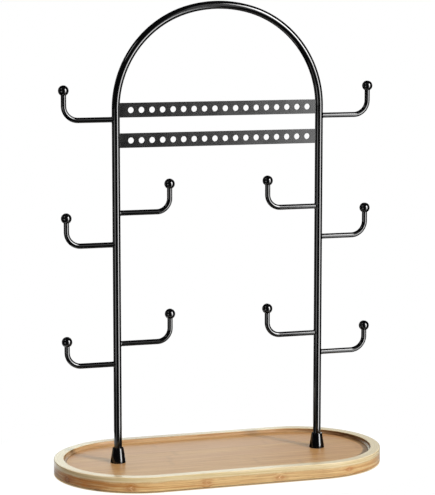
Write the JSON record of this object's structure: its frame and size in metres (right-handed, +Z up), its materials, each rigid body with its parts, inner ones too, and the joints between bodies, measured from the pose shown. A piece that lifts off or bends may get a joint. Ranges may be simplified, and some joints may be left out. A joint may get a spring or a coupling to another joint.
{
  "type": "jewelry stand",
  "caption": "Free-standing arch of black metal rod with ball-tipped arms and hooks and perforated bars, on a long bamboo tray with round ends.",
  "frame": {"origin": "on the surface that the stand rests on, under the middle of the tray", "axes": "+X along the tray to its right end, +Y from the front to the back, +Z up"},
  "size_m": [0.32, 0.16, 0.4428],
  "materials": {
    "bamboo_hoop": "satin",
    "bamboo_panel": "satin",
    "gloss_black_rod": "gloss",
    "satin_black_bar": "satin",
    "gloss_black_ball": "gloss",
    "gloss_black_ferrule": "gloss",
    "zinc_screw": "zinc plated",
    "clear_pad": "matte"
  },
  "bodies": {
    "root": {"tray_rim": "bamboo_hoop", "tray_floor": "bamboo_panel", "arch_rod": "gloss_black_rod", "upper_earring_bar": "satin_black_bar", "lower_earring_bar": "satin_black_bar", "left_upper_arm": "gloss_black_rod", "left_upper_arm_ball": "gloss_black_ball", "left_middle_arm": "gloss_black_rod", "left_middle_arm_ball": "gloss_black_ball", "left_lower_arm": "gloss_black_rod", "left_lower_arm_ball": "gloss_black_ball", "left_upper_hook": "gloss_black_rod", "left_upper_hook_ball": "gloss_black_ball", "left_lower_hook": "gloss_black_rod", "left_lower_hook_ball": "gloss_black_ball", "left_ferrule": "gloss_black_ferrule", "left_leg_screw": "zinc_screw", "left_leg_washer": "zinc_screw", "left_front_pad": "clear_pad", "left_back_pad": "clear_pad", "right_upper_arm": "gloss_black_rod", "right_upper_arm_ball": "gloss_black_ball", "right_middle_arm": "gloss_black_rod", "right_middle_arm_ball": "gloss_black_ball", "right_lower_arm": "gloss_black_rod", "right_lower_arm_ball": "gloss_black_ball", "right_upper_hook": "gloss_black_rod", "right_upper_hook_ball": "gloss_black_ball", "right_lower_hook": "gloss_black_rod", "right_lower_hook_ball": "gloss_black_ball", "right_ferrule": "gloss_black_ferrule", "right_leg_screw": "zinc_screw", "right_leg_washer": "zinc_screw", "right_front_pad": "clear_pad", "right_back_pad": "clear_pad"}
  },
  "joints": []
}
